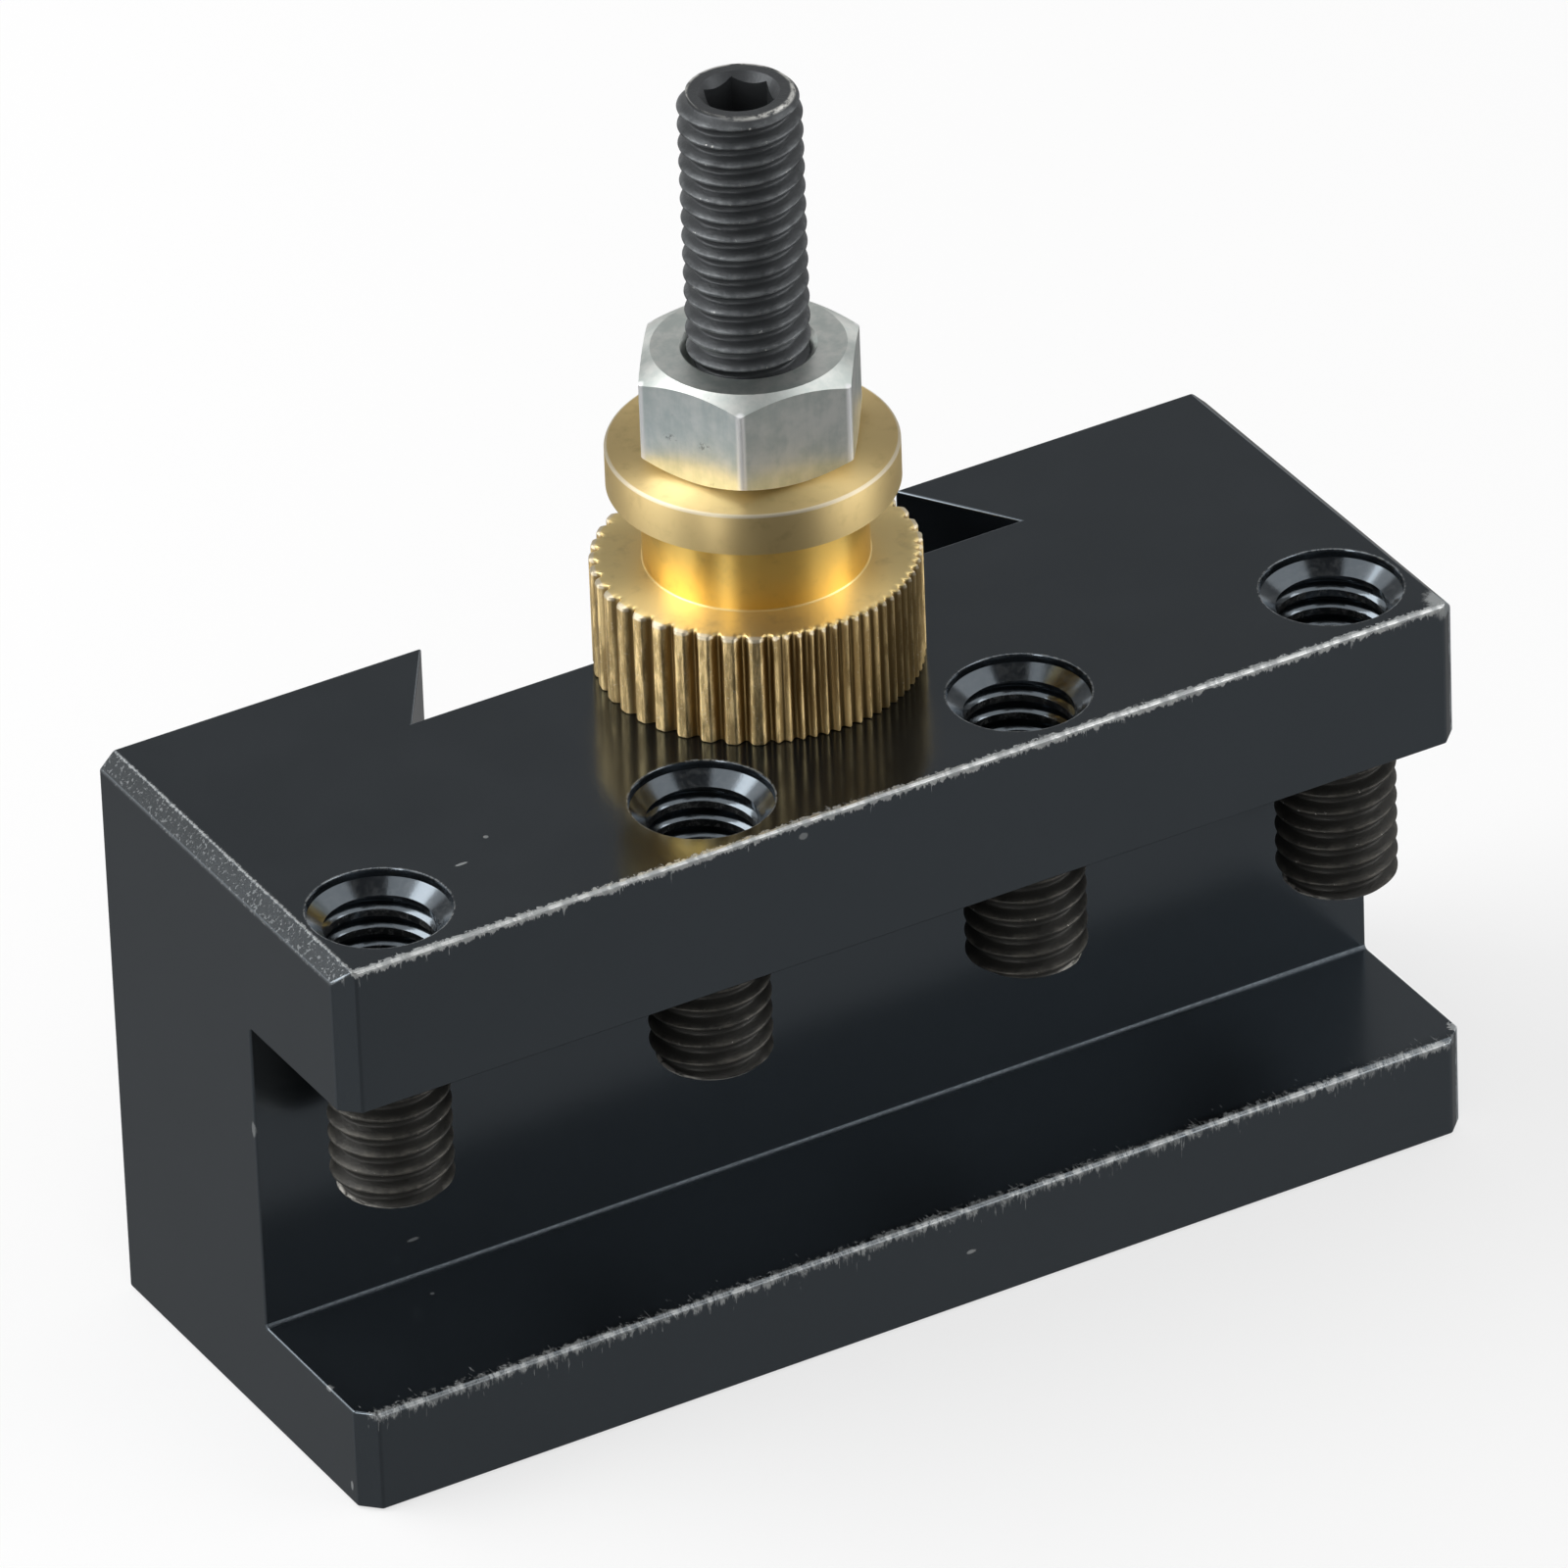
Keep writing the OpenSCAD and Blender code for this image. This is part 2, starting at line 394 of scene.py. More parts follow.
bodyFinish = {
    "dark": (0.0042, 0.0050, 0.0058),
    "light": (0.0052, 0.0062, 0.0072),
    "steel": (0.78, 0.80, 0.79),
    "sheen": (0.77, 0.89, 1.0),   # cold cast of the oxide's reflections
    "roughness": 0.13,
    "wornRoughness": 0.34,
    "coneRoughness": 0.15,
    "slotRoughness": 0.22,
    "cornerRoughness": 0.66,
    "index": 2.3,          # refractive index, high for the oxide's gloss
    "lightened": 0.055,       # share of bare metal all over the left end's chamfer
    "specks": 0.17,        # what its specks add
    "coneMarks": 0.045,    # bare metal on the cones of the screw holes
    "crestMarks": 0.08,    # on the crests of their threads
    "rimMarks": 0.2,       # on their rims
    "nicks": [             # middle, stretch along each axis, size in mm, strength
        ((-20.9, -6.13, 30.0), (1.0, 3.5, 3.0), 0.42, 0.4),
        ((-18.76, -4.69, 30.0), (1.0, 1.0, 1.0), 0.16, 0.3),
        ((-22.43, -2.35, 7.49), (1.0, 3.0, 3.5), 0.42, 0.22),
        ((-22.47, -4.08, 5.4), (1.0, 1.0, 1.0), 0.14, 0.25),
        ((2.64, -11.65, 2.91), (1.0, 2.0, 2.5), 0.34, 0.5),
        ((-5.68, -11.65, 29.2), (1.0, 1.0, 1.3), 0.3, 0.25),
        ((-30.5, -2.2, 16.5), (2.0, 3.0, 1.0), 0.55, 0.25),
        ((-30.5, -10.3, 0.95), (1.5, 2.5, 1.0), 0.3, 0.5),
        ((-30.5, -8.4, 5.35), (1.0, 1.0, 2.0), 0.32, 0.3),
        ((30.0, -11.2, 29.9), (1.0, 1.0, 1.4), 1.3, 0.55),
    ],
}


def wornEdge(tree, parts, edge, ragged, hairs, strand):
    away = distanceToLine(tree, parts, edge["along"], edge["through"])
    reach = maths(tree, "MULTIPLY_ADD", ramp(tree, ragged, 0.36, 0.68), edge["spread"],
                  edge["width"])
    line = ramp(tree, maths(tree, "SUBTRACT", reach, away), 0.0, edge.get("soft", 0.07))
    if "hairs" in edge:
        low = maths(tree, "MULTIPLY", ramp(tree, hairs, 0.52, 0.8), edge["hairs"])
        hair = ramp(tree, maths(tree, "SUBTRACT", low, away), 0.0, 0.25)
        line = maths(tree, "MAXIMUM", line, maths(tree, "MULTIPLY", hair, 0.45))
    broken = mixValue(tree, edge.get("broken", 0.0), 1.0, strand)
    return maths(tree, "MULTIPLY", maths(tree, "MULTIPLY", line, broken), edge["strength"])


def bodyMaterial(size):
    finish = bodyFinish
    material, tree, shader = newMaterial("satinBlackOxide")
    place = placeInMm(tree)
    x, y, z = split(tree, place)
    wide = noise(tree, place, 0.22, 3.0)
    grain = noise(tree, place, 9.0, 3.0, 0.7)
    ragged = noise(tree, stretched(tree, place, (1.0, 1.0, 0.25)), 3.2, 4.0, 0.75)
    hairs = noise(tree, stretched(tree, place, (7.0, 1.0, 0.7)), 1.0, 2.0, 0.6)
    speckle = ramp(tree, noise(tree, stretched(tree, place, (1.8, 1.0, 0.8)), 3.6, 3.0, 0.8),
                   0.38, 0.62)
    # Slanting strands of burr along the front edges
    across = maths(tree, "SUBTRACT", z, y)
    lean = maths(tree, "MULTIPLY_ADD", across, 1.3, maths(tree, "MULTIPLY", x, 1.7))
    strand = noise(tree, node(tree, "ShaderNodeCombineXYZ", {0: lean, 1: across}).outputs[0],
                   1.1, 3.0, 0.65)
    strand = ramp(tree, strand, 0.42, 0.58)

    marks = [wornEdge(tree, (x, y, z), edge, ragged, hairs, strand)
             for edge in size["wornEdges"]]

    # Specks of bare metal on the left end's chamfer
    sparks = ramp(tree, noise(tree, place, 5.5, 2.0, 0.6), 0.56, 0.66)
    outside = maths(tree, "ADD", maths(tree, "ABSOLUTE", x), z)
    onTopChamfer = ramp(tree, outside, size["topChamferSum"] - 0.16, size["topChamferSum"] - 0.04)
    onTopChamfer = maths(tree, "MULTIPLY", onTopChamfer, ramp(tree, x, 1.0, -1.0))
    marks.append(maths(tree, "MULTIPLY", onTopChamfer,
                       maths(tree, "MULTIPLY_ADD", sparks, finish["specks"], finish["lightened"])))

    for middle, stretch, reach, strength in finish["nicks"]:
        away = distanceToSpot(tree, place, middle, stretch)
        away = maths(tree, "MULTIPLY_ADD", ragged, reach * 0.8, away)
        marks.append(maths(tree, "MULTIPLY", ramp(tree, away, reach * 1.35, reach * 0.95),
                           strength))

    # Bare metal on the cones, threads and rims of the clamp screw holes
    radius = None
    for centre in size["holes"]:
        away = distanceToLine(tree, (x, y, z), 2, (*centre, 0))
        radius = away if radius is None else maths(tree, "MINIMUM", radius, away)
    inHole = ramp(tree, radius, size["mouthRadius"] + 0.12, size["mouthRadius"] + 0.06)
    depth = maths(tree, "SUBTRACT", size["top"], z)
    onCone = maths(tree, "MULTIPLY", ramp(tree, depth, size["mouthWall"] - 0.02,
                                          size["mouthWall"] + 0.08),
                   ramp(tree, depth, 1.1, 0.98))
    mottled = ramp(tree, noise(tree, place, 2.6, 4.0, 0.75), 0.42, 0.66)
    cone = maths(tree, "MULTIPLY", onCone,
                 maths(tree, "MULTIPLY", mottled, finish["coneMarks"]))
    crest = maths(tree, "MULTIPLY", ramp(tree, depth, 1.1, 1.3),
                  ramp(tree, radius, thread["drilled"] + 0.16, thread["drilled"] + 0.04))
    crest = maths(tree, "MULTIPLY", crest, ramp(tree, depth, size["jaw"], size["jaw"] - 0.1))
    crest = maths(tree, "MULTIPLY", crest,
                  maths(tree, "MULTIPLY_ADD", mottled, finish["crestMarks"], 0.01))
    onRim = maths(tree, "MULTIPLY", ramp(tree, radius, size["mouthRadius"] - 0.01,
                                         size["mouthRadius"] + 0.03),
                  ramp(tree, ragged, 0.4, 0.6))
    rim = maths(tree, "MULTIPLY", maths(tree, "MULTIPLY", onRim, finish["rimMarks"]),
                ramp(tree, depth, 0.2, 0.1))
    inside = maths(tree, "MAXIMUM", maths(tree, "MAXIMUM", cone, crest), rim)
    marks.append(maths(tree, "MULTIPLY", inside, inHole))

    worn = marks[0]
    for mark in marks[1:]:
        worn = maths(tree, "MAXIMUM", worn, mark, clamp=True)
    oxide = mixColour(tree, ramp(tree, wide, 0.3, 0.7), finish["dark"], finish["light"])
    tree.links.new(mixColour(tree, worn, oxide, finish["steel"]), shader.inputs["Base Color"])
    tree.links.new(worn, shader.inputs["Metallic"])
    rough = mixValue(tree, ramp(tree, wide, 0.3, 0.7), finish["roughness"] - 0.015,
                     finish["roughness"] + 0.02)
    rough = mixValue(tree, maths(tree, "MULTIPLY", onCone, inHole), rough, finish["coneRoughness"])
    slotCorner = ramp(tree, distanceToLine(tree, (x, y, z), 0, size["slotCorner"]), 0.2, 0.12)
    slotCorner = maths(tree, "MULTIPLY", slotCorner, mixValue(tree, speckle, 0.3, 1.0))
    inSlot = maths(tree, "MULTIPLY", ramp(tree, y, size["front"] + 0.4, size["front"] + 0.8),
                   ramp(tree, y, size["slotCorner"][1] + 0.08, size["slotCorner"][1] + 0.03))
    inSlot = maths(tree, "MULTIPLY", inSlot, ramp(tree, depth, size["jaw"] - 0.06,
                                                  size["jaw"] - 0.02))
    inSlot = maths(tree, "MULTIPLY", inSlot, ramp(tree, z, size["slotCorner"][2] - 0.06,
                                                  size["slotCorner"][2] - 0.02))
    rough = mixValue(tree, inSlot, rough, finish["slotRoughness"])
    rough = mixValue(tree, slotCorner, rough, finish["cornerRoughness"])
    tree.links.new(mixValue(tree, ramp(tree, worn, 0.05, 0.4), rough, finish["wornRoughness"]),
                   shader.inputs["Roughness"])
    shader.inputs["IOR"].default_value = finish["index"]
    shader.inputs["Specular Tint"].default_value = (*finish["sheen"], 1)
    bump(tree, shader, maths(tree, "MULTIPLY_ADD", grain, 0.6, ragged), 0.1, 0.02)
    return material


screwFinish = {
    # low is painted shade in the thread roots, high a painted highlight on the crests; bare is
    # worn steel
    "stud": {"low": (0.058, 0.062, 0.066), "high": (0.145, 0.154, 0.16),
             "bare": (0.60, 0.60, 0.57), "roughness": 0.4, "metal": 0.55},
    "clamp": {"low": (0.034, 0.033, 0.030), "high": (0.088, 0.083, 0.072),
              "bare": (0.62, 0.60, 0.55), "roughness": 0.46, "metal": 0.55},
}


def screwMaterial(name, finish, rims):
    # Blackened steel, painted lighter on the crests as a painted highlight and darker towards the
    # roots as painted shade, and bare in places round the end's rim
    material, tree, shader = newMaterial(name)
    place = placeInMm(tree)
    x, y, z = split(tree, place)
    radius = rimAway = None
    for centre, rimRadius, rimHeight in rims:
        away = distanceToLine(tree, (x, y, z), 2, (*centre, 0))
        near = distanceToLine(tree, (away, away, z), 0, (0, rimRadius, rimHeight))
        radius = away if radius is None else maths(tree, "MINIMUM", radius, away)
        rimAway = near if rimAway is None else maths(tree, "MINIMUM", rimAway, near)
    blotch = noise(tree, place, 1.3, 3.0, 0.6)
    streak = noise(tree, stretched(tree, place, (1.0, 1.0, 3.0)), 1.6, 4.0, 0.7)
    speck = noise(tree, place, 3.2, 3.0, 0.7)
    # Painted highlight on the crests, fading to painted shade in the roots, varied by blotches
    lightened = maths(tree, "MULTIPLY", ramp(tree, radius, thread["root"] + 0.22, thread["crest"]),
                   ramp(tree, blotch, 0.3, 0.65))
    bare = maths(tree, "MULTIPLY", ramp(tree, rimAway, 0.2, 0.06), ramp(tree, streak, 0.36, 0.54))
    onCrest = ramp(tree, radius, thread["crest"] - 0.12, thread["crest"] - 0.03)
    dots = maths(tree, "MULTIPLY", ramp(tree, speck, 0.64, 0.72), onCrest)
    bare = maths(tree, "MAXIMUM", bare, maths(tree, "MULTIPLY", dots, 0.8))
    patchy = mixValue(tree, ramp(tree, streak, 0.35, 0.6), 0.5, 1.2)
    lightened = maths(tree, "MULTIPLY", lightened, patchy)
    colour = mixColour(tree, lightened, finish["low"], finish["high"])
    tree.links.new(mixColour(tree, bare, colour, finish["bare"]), shader.inputs["Base Color"])
    shader.inputs["Metallic"].default_value = finish["metal"]
    tree.links.new(mixValue(tree, blotch, finish["roughness"] - 0.1, finish["roughness"] + 0.1),
                   shader.inputs["Roughness"])
    bump(tree, shader, maths(tree, "MULTIPLY_ADD", streak, 1.5, noise(tree, place, 7.0, 3.0, 0.6)),
         0.3, 0.05)
    return material


brassFinish = {
    "satin": (0.80, 0.62, 0.30),
    "polished": (0.94, 0.64, 0.18),
    "footTop": (1.0, 0.80, 0.38),
    "knurl": (0.97, 0.75, 0.38),
    "groove": (0.30, 0.20, 0.08),
    "tip": (0.96, 0.86, 0.66),
    "stain": (0.36, 0.25, 0.10),
    "neckRoughness": 0.3,
    "satinRoughness": 0.5,
    "footRoughness": 0.42,
    "knurlRoughness": 0.5,
    "tipRoughness": 0.6,
    "brushed": 0.85,       # how far the turning marks spread reflections
    "brushTurn": 0.25,     # a quarter turn, so they spread up and down
}


def brassMaterial(centre, size):
    finish = brassFinish
    material, tree, shader = newMaterial("turnedBrass")
    place = placeInMm(tree)
    x, y, z = split(tree, place)
    radius = distanceToLine(tree, (x, y, z), 2, (*centre, 0))
    onNeck = maths(tree, "MULTIPLY", ramp(tree, z, size["footTop"] + 0.02, size["footTop"] + 0.1),
                   maths(tree, "MULTIPLY", ramp(tree, z, size["neckTop"], size["neckTop"] - 0.1),
                         ramp(tree, radius, size["neckRadius"] + 0.2, size["neckRadius"] + 0.1)))
    onFoot = maths(tree, "MULTIPLY", ramp(tree, z, size["footTop"] - 0.02, size["footTop"] - 0.2),
                   ramp(tree, radius, size["footRadius"] - 0.9, size["footRadius"] - 0.6))
    inGroove = maths(tree, "MULTIPLY", onFoot,
                     ramp(tree, radius, size["footRadius"] - 0.06, size["footRadius"] - 0.32))
    onTip = maths(tree, "MULTIPLY",
                  maths(tree, "MULTIPLY",
                        ramp(tree, z, size["footTop"] - 0.26, size["footTop"] - 0.14),
                        ramp(tree, z, size["footTop"] + 0.3, size["footTop"] + 0.1)),
                  ramp(tree, radius, size["footRadius"] - 0.3, size["footRadius"] - 0.2))
    onRim = distanceToLine(tree, (radius, radius, z), 0,
                           (0, size["flangeRadius"] - 0.05, size["top"] - 0.05))
    onFootTop = ramp(tree, z, size["footTop"] + 0.3, size["footTop"] + 0.1)
    blotch = noise(tree, place, 0.9, 3.0, 0.6)
    streak = noise(tree, stretched(tree, place, (1.0, 1.0, 0.16)), 2.4, 4.0, 0.7)
    speck = noise(tree, place, 7.0, 3.0, 0.7)
    colour = mixColour(tree, onFootTop, finish["satin"], finish["footTop"])
    colour = mixColour(tree, onNeck, colour, finish["polished"])
    knurl = mixColour(tree, maths(tree, "MULTIPLY", ramp(tree, streak, 0.6, 0.42), 0.75),
                      finish["knurl"], finish["groove"])
    knurl = mixColour(tree, maths(tree, "MULTIPLY", ramp(tree, speck, 0.58, 0.72), 0.6),
                      knurl, finish["tip"])
    colour = mixColour(tree, onFoot, colour, knurl)
    colour = mixColour(tree, inGroove, colour, finish["groove"])
    colour = mixColour(tree, maths(tree, "MULTIPLY", ramp(tree, blotch, 0.5, 0.8), 0.25), colour,
                       finish["stain"])
    onTip = maths(tree, "MAXIMUM", onTip, ramp(tree, onRim, 0.13, 0.07))
    colour = mixColour(tree, onTip, colour, finish["tip"])
    tree.links.new(colour, shader.inputs["Base Color"])
    shader.inputs["Metallic"].default_value = 1.0
    rough = mixValue(tree, onFootTop, finish["satinRoughness"], finish["footRoughness"])
    rough = mixValue(tree, onNeck, rough, finish["neckRoughness"])
    rough = mixValue(tree, onFoot, rough, finish["knurlRoughness"])
    rough = mixValue(tree, onTip, rough, finish["tipRoughness"])
    tree.links.new(maths(tree, "MULTIPLY_ADD", blotch, 0.06, rough), shader.inputs["Roughness"])
    # Turning marks run round the nut
    shader.inputs["Anisotropic"].default_value = finish["brushed"]
    shader.inputs["Anisotropic Rotation"].default_value = finish["brushTurn"]
    around = node(tree, "ShaderNodeTangent", direction_type="RADIAL", axis="Z").outputs[0]
    tree.links.new(around, shader.inputs["Tangent"])
    rings = noise(tree, node(tree, "ShaderNodeCombineXYZ", {0: radius, 1: z}).outputs[0],
                  14.0, 2.0, 0.6)
    relief = mixValue(tree, onFoot, maths(tree, "MULTIPLY", rings, 0.4),
                      maths(tree, "MULTIPLY_ADD", speck, 0.6, streak))
    bump(tree, shader, relief, 0.2, 0.03)
    return material


zincFinish = {
    "cool": (0.72, 0.78, 0.745),
    "bright": (0.92, 0.94, 0.90),
    "dirt": (0.20, 0.21, 0.20),
    # painted highlight on the rounded upright corners of the hex
    "edge": (0.97, 0.98, 0.98),
    "roughness": 0.3,
    "edgeRoughness": 0.55,
    "marks": [             # middle, stretch along each axis, size in mm
        ((-5.0, 0.9, 44.4), (1.0, 1.0, 2.0), 0.5),
        ((-4.15, -0.85, 44.4), (1.0, 1.0, 1.2), 0.5),
    ],
}


def zincMaterial(corners):
    finish = zincFinish
    material, tree, shader = newMaterial("zincPlate")
    place = placeInMm(tree)
    parts = split(tree, place)
    cloud = noise(tree, place, 0.8, 3.0, 0.6)
    streak = noise(tree, stretched(tree, place, (3.0, 3.0, 0.5)), 1.0, 3.0, 0.6)
    fine = noise(tree, place, 4.0, 4.0, 0.75)
    dirt = maths(tree, "MULTIPLY", ramp(tree, noise(tree, place, 1.7, 4.0, 0.7), 0.66, 0.76), 0.3)
    for middle, stretch, reach in finish["marks"]:
        away = distanceToSpot(tree, place, middle, stretch)
        spot = maths(tree, "MULTIPLY", ramp(tree, away, reach, reach * 0.3),
                     ramp(tree, fine, 0.5, 0.6))
        dirt = maths(tree, "MAXIMUM", dirt, maths(tree, "MULTIPLY", spot, 0.7))
    patchy = ramp(tree, maths(tree, "MULTIPLY_ADD", streak, 0.35, cloud), 0.45, 0.9)
    colour = mixColour(tree, patchy, finish["cool"], finish["bright"])
    colour = mixColour(tree, dirt, colour, finish["dirt"])
    # Painted highlight: paler and rougher along the hex's upright corners
    edge = None
    for corner in corners:
        away = distanceToLine(tree, parts, 2, (*corner, 0))
        edge = away if edge is None else maths(tree, "MINIMUM", edge, away)
    edge = ramp(tree, edge, 0.34, 0.16)
    colour = mixColour(tree, edge, colour, finish["edge"])
    tree.links.new(colour, shader.inputs["Base Color"])
    shader.inputs["Metallic"].default_value = 1.0
    rough = maths(tree, "MULTIPLY_ADD", streak, 0.12, finish["roughness"])
    tree.links.new(mixValue(tree, edge, rough, finish["edgeRoughness"]),
                   shader.inputs["Roughness"])
    bump(tree, shader, cloud, 0.1, 0.02)
    return material


# Where the pieces are, from the frame, in mm

def boxMm(name):
    low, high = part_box(name)
    return low / mm, high / mm


def axisOf(name):
    low, high = boxMm(name)
    return ((low.x + high.x) / 2, (low.y + high.y) / 2)


bodyLow, bodyHigh = boxMm("tool_holder_body")
studLow, studHigh = boxMm("height_stud")
nutLow, nutHigh = boxMm("height_adjusting_nut")
lockLow, lockHigh = boxMm("lock_nut")
studAxis = axisOf("height_stud")
screwNames = [f"clamp_screw_{number}" for number in (1, 2, 3, 4)]
screwAxes = [axisOf(name) for name in screwNames]
screwLows = [boxMm(name)[0].z for name in screwNames]
screwHighs = [boxMm(name)[1].z for name in screwNames]

crestAt = {
    "stud": 0.9,           # height of the stud's crest on its +X side, less whole pitches
    "screw": 0.4,          # the same for the clamp screws and their holes
}

# Body

bodySize = {
    "topChamfer": 0.8,
    "cornerChamfer": 0.9,
    "lip": 5.4,
    "jaw": 7.8,
    "slotDepth": 9.3,
    "slotFillet": 0.2,
    "grooveMouth": 26.1,
    "grooveDepth": 5.65,
    "flankAngle": 57,
    "mouthRadius": 3.45,   # mouth of the clamp screw holes
    "mouthWall": 0.42,     # depth of the mouth's upright wall, above its cone
    "mouthRim": 0.07,      # worn rounding of the mouth's rim
    "mouthTaper": 0.03,    # the wall's lean inwards
    "mouthSides": 94,
    "coneEnd": 2.5,        # radius where the cone ends
    "coneSlope": 1.5,      # radius that the cone loses for each mm down
    "tapFlare": 0.1,       # widening of the thread at a hole's ends
    "studHoleDepth": 9.8,
    "frontRound": 0.28,    # worn front edges of the jaw and the lip
    "edgeRound": 0.12,
    "over": 1.0,           # how far the cutters reach past the body
}


def makeBody():
    s = bodySize
    low, high = bodyLow, bodyHigh
    jawZ = high.z - s["jaw"]
    slotBack = low.y + s["slotDepth"]
    grooveFloor = high.y - s["grooveDepth"]
    over = s["over"]
    body = block("toolHolderBody", low, high)
    for side in (-1, 1):
        shave(body, (side * (high.x - s["topChamfer"]), 0, high.z), (side, 0, 1))
        shave(body, (side * (high.x - s["cornerChamfer"]), low.y, 0), (side, -1, 0))

    slot = block("slotCutter", (low.x - over, low.y - over, s["lip"]),
                 (high.x + over, slotBack, jawZ))
    bevelEdges(slot, lambda a, b: a.y > slotBack - 0.01 and b.y > slotBack - 0.01
               and abs(a.z - b.z) < 0.01, s["slotFillet"], 4)
    combine(body, slot, "DIFFERENCE")

    # The groove's flanks run on past the rear face, to cut it cleanly
    slope = 1 / math.tan(math.radians(s["flankAngle"]))
    half = s["grooveMouth"] / 2
    groove = block("grooveCutter", (-half, grooveFloor, low.z - over),
                   (half, high.y + over, high.z + over))
    for corner in groove.data.vertices:
        wide = half + (high.y - corner.co.y / mm) * slope
        corner.co.x = math.copysign(wide * mm, corner.co.x)
    combine(body, groove, "DIFFERENCE")

    # The long upper front edges of the jaw and the lip
    bevelEdges(body, lambda a, b: min(abs(a.y - low.y), abs(b.y - low.y)) < 0.01
               and abs(a.y - b.y) < 0.01 and abs(a.x - b.x) > 9
               and min(abs(a.z - high.z), abs(a.z - s["lip"])) < 0.01, s["frontRound"], 4)
    roundEdges(body, s["edgeRound"], 3, 28)

    # A mouth has a rounded rim, a wall and a cone
    mouth, rim, end = s["mouthRadius"], s["mouthRim"], s["coneEnd"]
    wallFoot = high.z - s["mouthWall"]
    coneFoot = wallFoot - (mouth - end) / s["coneSlope"]
    mouthShape = [
        (0.0, high.z + 0.4), (mouth + 0.4 + rim, high.z + 0.4), (mouth + rim, high.z),
        (mouth + 0.3 * rim, high.z - 0.3 * rim), (mouth, high.z - rim),
        (mouth - s["mouthTaper"], wallFoot), (end, coneFoot), (0.0, coneFoot),
    ]
    for axis in screwAxes:
        tapHole(body, axis, jawZ, high.z, crestAt["screw"], thread["tapped"] + s["tapFlare"])
        combine(body, turnOnLathe("mouthCutter", axis, mouthShape, s["mouthSides"]),
                "DIFFERENCE")
    studFoot = high.z - s["studHoleDepth"]
    tapHole(body, studAxis, studFoot, high.z, crestAt["stud"], thread["tapped"], blind=True)
    keepInside(body, low, high)
    smooth(body, 32, weighted=True)

    front, top = low.y, high.z
    sizes = {
        "top": top,
        "front": front,
        "topChamferSum": high.x + high.z - s["topChamfer"],
        "holes": screwAxes,
        "mouthRadius": s["mouthRadius"],
        "mouthWall": s["mouthWall"],
        "jaw": s["jaw"],
        "slotCorner": (0, slotBack, s["lip"]),
        "wornEdges": [
            {"along": 0, "through": (0, front, top - 0.06), "width": 0.18, "spread": 0.26,
             "strength": 1.0, "hairs": 1.0, "broken": 0.45},
            {"along": 0, "through": (0, front, s["lip"] - 0.08), "width": 0.2, "spread": 0.46,
             "strength": 0.6, "hairs": 1.5, "broken": 0.6, "soft": 0.3},
            {"along": 0, "through": (0, front, jawZ), "width": 0.0, "spread": 0.08,
             "strength": 0.14},
            {"along": 1, "through": (low.x + s["topChamfer"], 0, top), "width": 0.04,
             "spread": 0.12, "strength": 0.45},
            {"along": 1, "through": (high.x - s["topChamfer"], 0, top), "width": 0.02,
             "spread": 0.1, "strength": 0.05},
            {"along": 2, "through": (high.x, front + s["cornerChamfer"], 0), "width": 0.3,
             "spread": 0.3, "strength": 0.8},
            {"along": 2, "through": (-s["grooveMouth"] / 2, high.y, 0), "width": 0.06,
             "spread": 0.14, "strength": 0.5},
        ],
    }
    paint(body, bodyMaterial(sizes))
    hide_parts("tool_holder_body")
    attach(body, "holder")
    print("body made:", len(body.data.polygons), "faces")


# Stud and clamp screws

socket = {
    "acrossFlats": 3.0,
    "depth": 3.2,
    "leadIn": 0.42,
    "cup": 1.5,            # radius of the cup in a clamp screw's tip
    "cupDepth": 0.85,
}

screwEnds = {
    "studChamfer": 0.42,
    "studRim": 0.39,       # how far inside the crest its bare rim lies
    "studTurn": 12,        # turn of its hex socket
    "clampChamfer": 0.34,
    "clampRim": 0.35,
    "clampRimUp": 0.05,    # height of the bare rim above the tip
    "clampTurn": 25,       # each socket is turned this much from the one before
}


def cutSocket(rod, axis, top, turn):
    corner = socket["acrossFlats"] / 2 / math.cos(math.radians(30))
    combine(rod, cone("hexKey", axis, top - socket["depth"], top + 1, corner, corner, 6, turn),
            "DIFFERENCE")
    flat = socket["acrossFlats"] / 2
    combine(rod, cone("leadIn", axis, top - socket["leadIn"], top + 1, flat,
                      flat + socket["leadIn"] + 1, 64), "DIFFERENCE")


def makeStud():
    low, high = studLow.z, studHigh.z
    rim = thread["crest"] - screwEnds["studRim"]
    material = screwMaterial("studOxide", screwFinish["stud"], [(studAxis, rim, high)])
    stud = threadedRod("heightStud", studAxis, low, high, crestAt["stud"], thread["root"],
                       thread["crest"])
    chamferEnds(stud, studAxis, low, high, screwEnds["studChamfer"])
    cutSocket(stud, studAxis, high, screwEnds["studTurn"])
    smooth(stud, 38)
    paint(stud, material)
    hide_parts("height_stud")
    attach(stud, "holder")
    print("stud made:", len(stud.data.polygons), "faces")


def makeClampScrews():
    rim = thread["crest"] - screwEnds["clampRim"]
    rims = [(axis, rim, low + screwEnds["clampRimUp"]) for axis, low in zip(screwAxes, screwLows)]
    material = screwMaterial("clampScrewOxide", screwFinish["clamp"], rims)
    for number, (name, axis) in enumerate(zip(screwNames, screwAxes)):
        low, high = screwLows[number], screwHighs[number]
        screw = threadedRod(f"clampScrew{number + 1}", axis, low, high, crestAt["screw"],
                            thread["root"], thread["crest"])
        chamferEnds(screw, axis, low, high, screwEnds["clampChamfer"])
        cutSocket(screw, axis, high, screwEnds["clampTurn"] * number)
        cup = socket["cup"] * (1 + 1 / socket["cupDepth"])
        combine(screw, cone("cup", axis, low - 1, low + socket["cupDepth"], cup, 0, 48),
                "DIFFERENCE")
        smooth(screw, 38)
        paint(screw, material)
        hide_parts(name)
        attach(screw, f"clamp_{number + 1}")
    print("clamp screws made:", len(screwNames))


# Height adjusting nut

